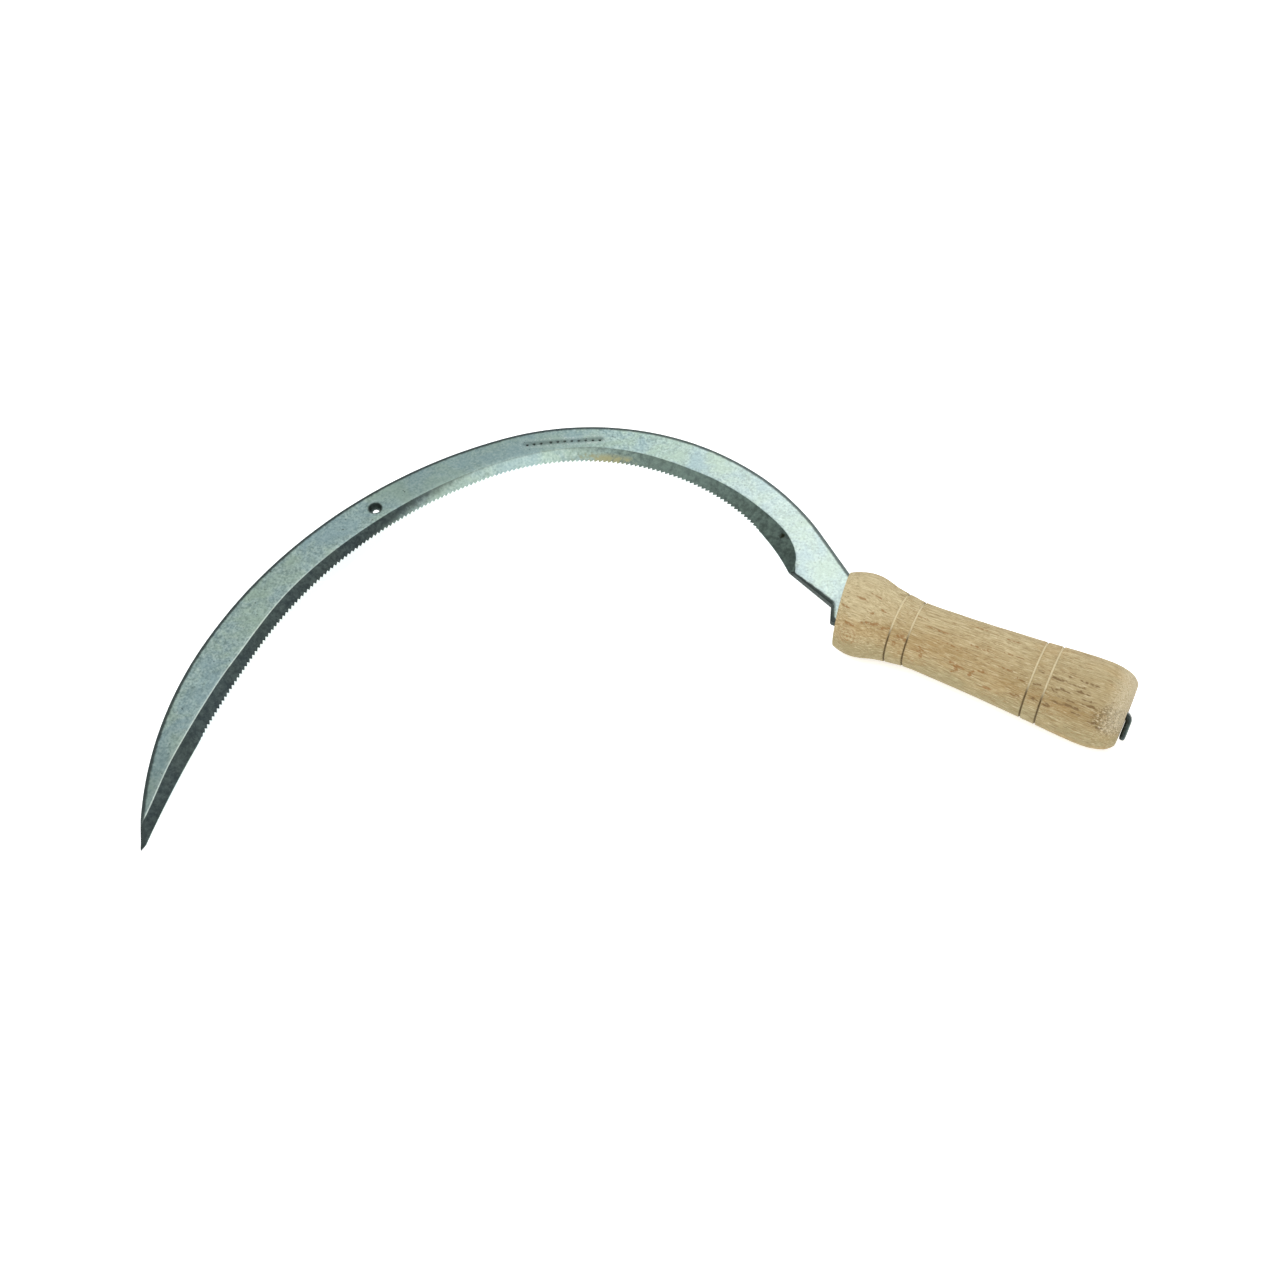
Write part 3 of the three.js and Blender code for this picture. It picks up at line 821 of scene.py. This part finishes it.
def forged_steel():
    n = Nodes("forged_steel_look")
    position = n.tree.nodes.new("ShaderNodeTexCoord").outputs["Object"]
    along, across = n.attribute("along"), n.attribute("across")
    ridge, from_spine = n.attribute("ridge"), n.attribute("from_spine")
    height = n.attribute("height")
    streak = n.vector(n.times(along, 0.12), n.times(across, 1.6), 0.0)

    upper = n.ramp(height, 0.2, 1.0)
    flat = n.times(n.ramp(ridge, -0.15, 0.2), n.ramp(height, 1.1, 1.35))
    bevel = n.times(n.ramp(ridge, 0.1, -0.3), n.ramp(height, -1.45, -1.1))

    mottle = n.noise(position, 420.0, 6.0, 0.7)
    speckle = n.noise(position, 950.0, 3.0, 0.6)
    cloud = n.noise(position, 60.0, 4.0, 0.6, 0.6)
    streaks = n.noise(streak, 1.0, 5.0, 0.6)
    base = n.mix(n.ramp(mottle, 0.36, 0.64), (0.345, 0.482, 0.455), (0.485, 0.635, 0.585))
    base = n.mix(n.ramp(speckle, 0.50, 0.64, 0.0, 0.75), base, (0.20, 0.28, 0.265))
    base = n.mix(n.ramp(speckle, 0.48, 0.36, 0.0, 0.65), base, (0.68, 0.80, 0.73))
    base = n.mix(n.ramp(cloud, 0.45, 0.66, 0.0, 0.55), base, (0.43, 0.57, 0.43))
    base = n.mix(n.ramp(cloud, 0.55, 0.32, 0.0, 0.55), base, (0.30, 0.45, 0.51))
    base = n.mix(n.ramp(streaks, 0.5, 0.8, 0.0, 0.2), base, (0.62, 0.72, 0.67))

    # The flat is brighter near the handle, partly ground steel and partly painted reflection;
    # the far arm is darker, partly its forge skin and partly painted shade.
    near_handle = n.ramp(along, 110, 20)
    base = n.mix(n.times(flat, near_handle, 0.3), base, (0.76, 0.80, 0.77))
    far = n.ramp(along, 120, 230)
    base = n.mix(n.times(flat, far, 0.12), base, (0.24, 0.33, 0.31))
    shoulder = n.times(n.ramp(along, 96, 130), n.ramp(along, 225, 180))
    base = n.mix(n.times(flat, shoulder, 0.5), base, (0.22, 0.32, 0.31))
    base = n.mix(n.times(flat, n.ramp(along, 315, 368), 0.6), base, (0.17, 0.24, 0.225))
    # A painted highlight: a sheen band on the flat beside the ridge.
    beside_ridge = n.times(n.ramp(ridge, 0.0, 0.3), n.ramp(ridge, 2.4, 0.9))
    painted_ridge_sheen = n.times(beside_ridge, far, n.ramp(streaks, 0.3, 0.6, 0.3, 1.0))
    base = n.mix(n.times(painted_ridge_sheen, 0.12), base, (0.66, 0.74, 0.64))
    # The bevel is dark on both arms, partly forge skin and partly painted shade;
    # its paleness at the crown and the tan patch there are painted reflection.
    drift = n.math("ADD", along, n.times(n.math("SUBTRACT", mottle, 0.5), 46.0))
    from_edge = n.math("ADD", drift, n.times(n.math("SUBTRACT", across, 2.4), 7.0))
    crown = n.times(n.ramp(drift, 84, 146), n.ramp(from_edge, 206, 166))
    skin_and_shade = n.math("SUBTRACT", 1.0, crown)
    near_tone = n.mix(n.ramp(mottle, 0.3, 0.75), (0.036, 0.052, 0.044), (0.115, 0.165, 0.138))
    far_tone = n.mix(n.ramp(mottle, 0.35, 0.75), (0.012, 0.019, 0.023), (0.062, 0.084, 0.080))
    bevel_tone = n.mix(n.ramp(along, 140, 185), near_tone, far_tone)
    base = n.mix(n.times(bevel, 0.35), base, (0.34, 0.42, 0.36))
    base = n.mix(n.times(bevel, skin_and_shade, 0.93), base, bevel_tone)
    tan = n.times(bevel, n.ramp(drift, 92, 102), n.ramp(drift, 116, 106), n.ramp(across, 4.4, 2.0))
    base = n.mix(n.times(tan, 0.75), base, (0.27, 0.25, 0.12))
    # Painted highlight along the ridge itself, painted shade just under it on the bevel,
    # and painted shade on the dark corner along the spine.
    line = n.times(n.ramp(ridge, -0.3, 0.0), n.ramp(ridge, 0.45, 0.1), n.ramp(along, 205, 285))
    base = n.mix(n.times(line, 0.5), base, (0.85, 0.93, 0.84))
    under_ridge = n.times(n.ramp(ridge, -1.1, -0.2), n.ramp(ridge, 0.1, -0.1))
    shade = n.times(under_ridge, n.ramp(along, 196, 186), n.ramp(along, 100, 112))
    base = n.mix(n.times(shade, 0.45), base, (0.13, 0.17, 0.155))
    edging = n.math("ADD", from_spine, n.times(n.math("SUBTRACT", mottle, 0.5), 0.9))
    corner = n.ramp(edging, 2.2, 1.25)
    base = n.mix(n.times(corner, 0.88), base, (0.045, 0.06, 0.058))
    # Painted shade on the shank's lower wall and the lug's side, which face away from the light.
    behind = n.attribute("behind")
    wall_reach = n.ramp(behind, -26, -6, 0.9, 2.3)
    wall_edge = n.math("ADD", n.attribute("from_shank"), n.times(n.math("SUBTRACT", mottle, 0.5), 1.4))
    wall = n.ramp(n.math("DIVIDE", wall_edge, wall_reach), 1.0, 0.45)
    base = n.mix(n.times(wall, 0.94), base, (0.022, 0.030, 0.026))
    # Painted shade on the clinch: darkest against the butt, and less dark on its outer face.
    clinch = n.times(n.ramp(behind, 119.5, 120.5), n.ramp(behind, 124.4, 122.8, 0.55, 1.0))
    clinch = n.times(clinch, n.ramp(mottle, 0.2, 0.6, 0.8, 1.0))
    base = n.mix(n.times(clinch, 0.94), base, (0.03, 0.036, 0.036))
    row = n.attribute("row")
    smudge = n.times(n.ramp(row, 2.2, 0.2), n.ramp(cloud, 0.3, 0.55, 0.5, 1.0), n.ramp(height, 1.2, 1.35))
    base = n.mix(n.times(smudge, 0.62), base, (0.12, 0.16, 0.15))
    beside_row = n.times(n.ramp(row, 3.2, 2.2), n.ramp(row, 0.9, 1.5))
    flecks = n.times(beside_row, n.ramp(speckle, 0.53, 0.6), n.ramp(height, 1.2, 1.35))
    base = n.mix(n.times(flecks, 0.4), base, (0.85, 0.92, 0.89))
    base = n.mix(n.times(n.attribute("pit"), 0.95), base, (0.02, 0.026, 0.026))
    # Painted shade in and just around the hanging hole.
    rim = n.times(n.ramp(n.attribute("hole"), 3.6, 2.8), 0.9)
    base = n.mix(rim, base, (0.035, 0.05, 0.045))
    base = n.mix(n.ramp(n.attribute("spot"), 1.15, 0.6), base, (0.012, 0.016, 0.006))
    specks = n.times(n.ramp(n.noise(position, 620.0, 2.0, 0.5), 0.71, 0.75), upper)
    base = n.mix(n.times(specks, 0.7), base, (0.05, 0.06, 0.055))
    n.put(n.shader.inputs["Base Color"], base)
    n.shader.inputs["Metallic"].default_value = 0.9

    rough = n.ramp(mottle, 0.3, 0.75, 0.40, 0.52)
    rough = n.math("ADD", rough, n.times(bevel, 0.06))
    n.put(n.shader.inputs["Roughness"], rough)

    hammered = n.noise(position, 90.0, 3.0, 0.5)
    grit = n.noise(position, 900.0, 3.0, 0.6)
    grind = n.noise(n.vector(n.times(along, 2.2), n.times(across, 0.25)), 1.0, 3.0, 0.6)
    normal = n.bump(hammered, 0.12, 0.0010)
    normal = n.bump(grit, 0.25, 0.00012, normal)
    normal = n.bump(n.times(grind, bevel), 0.25, 0.00012, normal)
    normal = n.bump(streaks, 0.2, 0.0001, normal)
    n.put(n.shader.inputs["Normal"], normal)
    return n.material


def raw_hardwood():
    n = Nodes("raw_hardwood_look")
    x, y, z = n.attribute("lengthwise"), n.attribute("sideways"), n.attribute("upwards")
    groove, torn = n.attribute("groove"), n.attribute("torn")
    # Growth rings about a pith line outside the handle, wavy along the grain.
    wave = n.noise(n.vector(n.times(x, 0.02), n.times(y, 0.05), n.times(z, 0.05)), 1.0, 2.0, 0.5)
    off_y, off_z = n.math("ADD", y, 22.0), n.math("ADD", z, 30.0)
    pith = n.math("SQRT", n.math("ADD", n.times(off_y, off_y), n.times(off_z, off_z)))
    rings_at = n.math("ADD", pith, n.times(wave, 7.0))
    ring = n.math("SINE", n.times(rings_at, 3.1))
    fibre = n.noise(n.vector(n.times(x, 0.07), n.times(y, 2.2), n.times(z, 2.2)), 1.0, 6.0, 0.72)
    fine = n.noise(n.vector(n.times(x, 0.30), n.times(y, 6.5), n.times(z, 6.5)), 1.0, 3.0, 0.65)
    cloud = n.noise(n.vector(n.times(x, 0.04), n.times(y, 0.09), n.times(z, 0.09)), 1.0, 3.0, 0.55)
    grit = n.noise(n.vector(n.times(x, 1.5), n.times(y, 2.5), n.times(z, 2.5)), 1.0, 3.0, 0.7)

    base = n.mix(n.ramp(fibre, 0.39, 0.61), (0.345, 0.25, 0.115), (0.66, 0.555, 0.325))
    base = n.mix(n.ramp(ring, 0.2, 1.0, 0.0, 0.30), base, (0.34, 0.22, 0.09))
    # Warmer along the side; paler over the top, a painted highlight;
    # darker and greyer low down, painted shade.
    warm = n.times(n.ramp(z, 3.0, 10.0), n.ramp(y, 3.0, -4.0))
    warm = n.times(warm, n.ramp(x, 8, 26, 0.2, 1.0), n.ramp(cloud, 0.3, 0.6, 0.5, 1.0))
    base = n.mix(n.times(warm, 0.62), base, (0.375, 0.245, 0.095))
    weathered = n.times(n.ramp(x, 62, 94), n.ramp(z, 2.0, 8.0), n.ramp(y, 8.0, 0.0))
    base = n.mix(n.times(weathered, 0.45), base, (0.29, 0.215, 0.095))
    pale = n.ramp(z, 11.0, 16.0)
    base = n.mix(n.times(pale, n.ramp(x, 60, 20, 0.25, 0.5)), base, (0.66, 0.56, 0.34))
    low = n.ramp(z, 9.0, 0.0)
    base = n.mix(n.times(low, 0.7), base, (0.29, 0.245, 0.12))
    base = n.mix(n.ramp(cloud, 0.5, 0.72, 0.0, 0.4), base, (0.47, 0.31, 0.13))
    base = n.mix(n.ramp(fine, 0.52, 0.78, 0.0, 0.55), base, (0.25, 0.155, 0.06))
    base = n.mix(n.ramp(fine, 0.45, 0.25, 0.0, 0.4), base, (0.70, 0.59, 0.37))
    base = n.mix(n.ramp(grit, 0.58, 0.75, 0.0, 0.35), base, (0.30, 0.20, 0.09))
    # Short dark pores and reddish flecks that gather in patches.
    dash = n.noise(n.vector(n.times(x, 0.55), n.times(y, 2.4), n.times(z, 2.4)), 1.0, 2.0, 0.5, 0.4)
    patch = n.noise(n.vector(n.times(x, 0.07), n.times(y, 0.16), n.times(z, 0.16)), 1.0, 2.0, 0.5)
    flecks = n.times(n.ramp(dash, 0.56, 0.64), n.ramp(patch, 0.44, 0.58))
    base = n.mix(n.times(flecks, n.ramp(x, 16, 30, 0.3, 0.65)), base, (0.30, 0.165, 0.06))
    pores = n.noise(n.vector(n.times(x, 0.24), n.times(y, 2.6), n.times(z, 2.6)), 1.0, 3.0, 0.6)
    base = n.mix(n.ramp(pores, 0.55, 0.66, 0.0, 0.62), base, (0.205, 0.13, 0.055))
    base = n.mix(n.ramp(pores, 0.44, 0.34, 0.0, 0.5), base, (0.74, 0.64, 0.42))
    figure = n.attribute("figure")
    stained = n.mix(n.ramp(x, 68, 88), (0.29, 0.145, 0.048), (0.17, 0.10, 0.04))
    base = n.mix(n.times(n.ramp(figure, 0.15, 0.8), 0.8), base, stained)
    # The grooves are pale over the top, partly fresh-cut wood and partly painted highlight,
    # and dark low down, partly dirt and partly painted shade.
    cut = n.mix(n.ramp(z, 8.0, 12.5), (0.10, 0.065, 0.025), (0.80, 0.72, 0.50))
    base = n.mix(n.times(n.ramp(groove, 0.1, 0.7), n.ramp(fine, 0.3, 0.6, 0.45, 0.95)), base, cut)
    chips = n.noise(n.vector(n.times(x, 1.1), n.times(y, 1.6), n.times(z, 1.6)), 1.0, 2.0, 0.6)
    ragged = n.ramp(torn, 0.05, 0.5)
    base = n.mix(n.times(ragged, n.ramp(chips, 0.46, 0.58), 0.75), base, (0.17, 0.12, 0.05))
    base = n.mix(n.times(ragged, n.ramp(chips, 0.46, 0.36), 0.55), base, (0.72, 0.63, 0.44))
    butt = n.times(n.ramp(x, 111.0, 118.5), n.ramp(z, 3.0, 9.0), n.ramp(fine, 0.6, 0.45))
    base = n.mix(n.times(butt, 0.65), base, (0.74, 0.66, 0.48))
    n.put(n.shader.inputs["Base Color"], base)
    n.put(n.shader.inputs["Roughness"], n.ramp(fibre, 0.3, 0.7, 0.88, 0.74))
    n.shader.inputs["Specular IOR Level"].default_value = 0.3
    normal = n.bump(fibre, 0.5, 0.00025)
    normal = n.bump(fine, 0.35, 0.0001, normal)
    normal = n.bump(n.times(n.ramp(torn, 0.0, 0.5), dash), 0.8, 0.0006, normal)
    n.put(n.shader.inputs["Normal"], normal)
    return n.material


def plain(name, colour, roughness, glow):
    n = Nodes(name)
    n.shader.inputs["Base Color"].default_value = (*colour, 1.0)
    n.shader.inputs["Roughness"].default_value = roughness
    n.shader.inputs["Emission Color"].default_value = (1.0, 1.0, 1.0, 1.0)
    n.shader.inputs["Emission Strength"].default_value = glow
    return n.material


cut_mesh.materials.clear()
cut_mesh.materials.append(forged_steel())
handle_mesh.materials.append(raw_hardwood())
for piece, node, slot in ((blade, "blade", "forged_steel"), (handle, "handle", "raw_hardwood")):
    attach(piece, "root")
    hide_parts(node)

# ---------------------------------------------------------------- floor and light
FLOOR_REACH = 40.0
floor_mesh = bpy.data.meshes.new("floor")
corners = [(-1, -1), (1, -1), (1, 1), (-1, 1)]
floor_mesh.from_pydata([(x * FLOOR_REACH, y * FLOOR_REACH, 0.0) for x, y in corners], [], [(0, 1, 2, 3)])
floor_mesh.materials.append(plain("pale_floor", (0.92, 0.92, 0.92), 0.9, 0.6))
floor = bpy.data.objects.new("floor", floor_mesh)
floor.location.z = cad_low[2] - 0.0002
bpy.context.collection.objects.link(floor)

world = bpy.data.worlds.new("room")
world.use_nodes = True
world.node_tree.nodes["Background"].inputs["Color"].default_value = (0.95, 0.98, 1.0, 1.0)
world.node_tree.nodes["Background"].inputs["Strength"].default_value = 0.42
bpy.context.scene.world = world
bpy.context.scene.view_settings.view_transform = "Standard"


def soft_light(name, direction, distance, size, power, colour=(1.0, 1.0, 1.0)):
    data = bpy.data.lights.new(name, "AREA")
    data.shape, data.size, data.energy, data.color = "DISK", size, power, colour
    light = bpy.data.objects.new(name, data)
    light.location = Vector(direction).normalized() * distance
    light.rotation_euler = (-light.location).to_track_quat("-Z", "Y").to_euler()
    bpy.context.collection.objects.link(light)


soft_light("back_light", (0.05, 0.62, 0.80), 1.6, 1.3, 8.0)
soft_light("front_light", (-0.12, -0.42, 0.90), 1.6, 0.8, 13.0)
soft_light("right_fill", (0.9, -0.1, 0.55), 1.8, 0.8, 3.3)
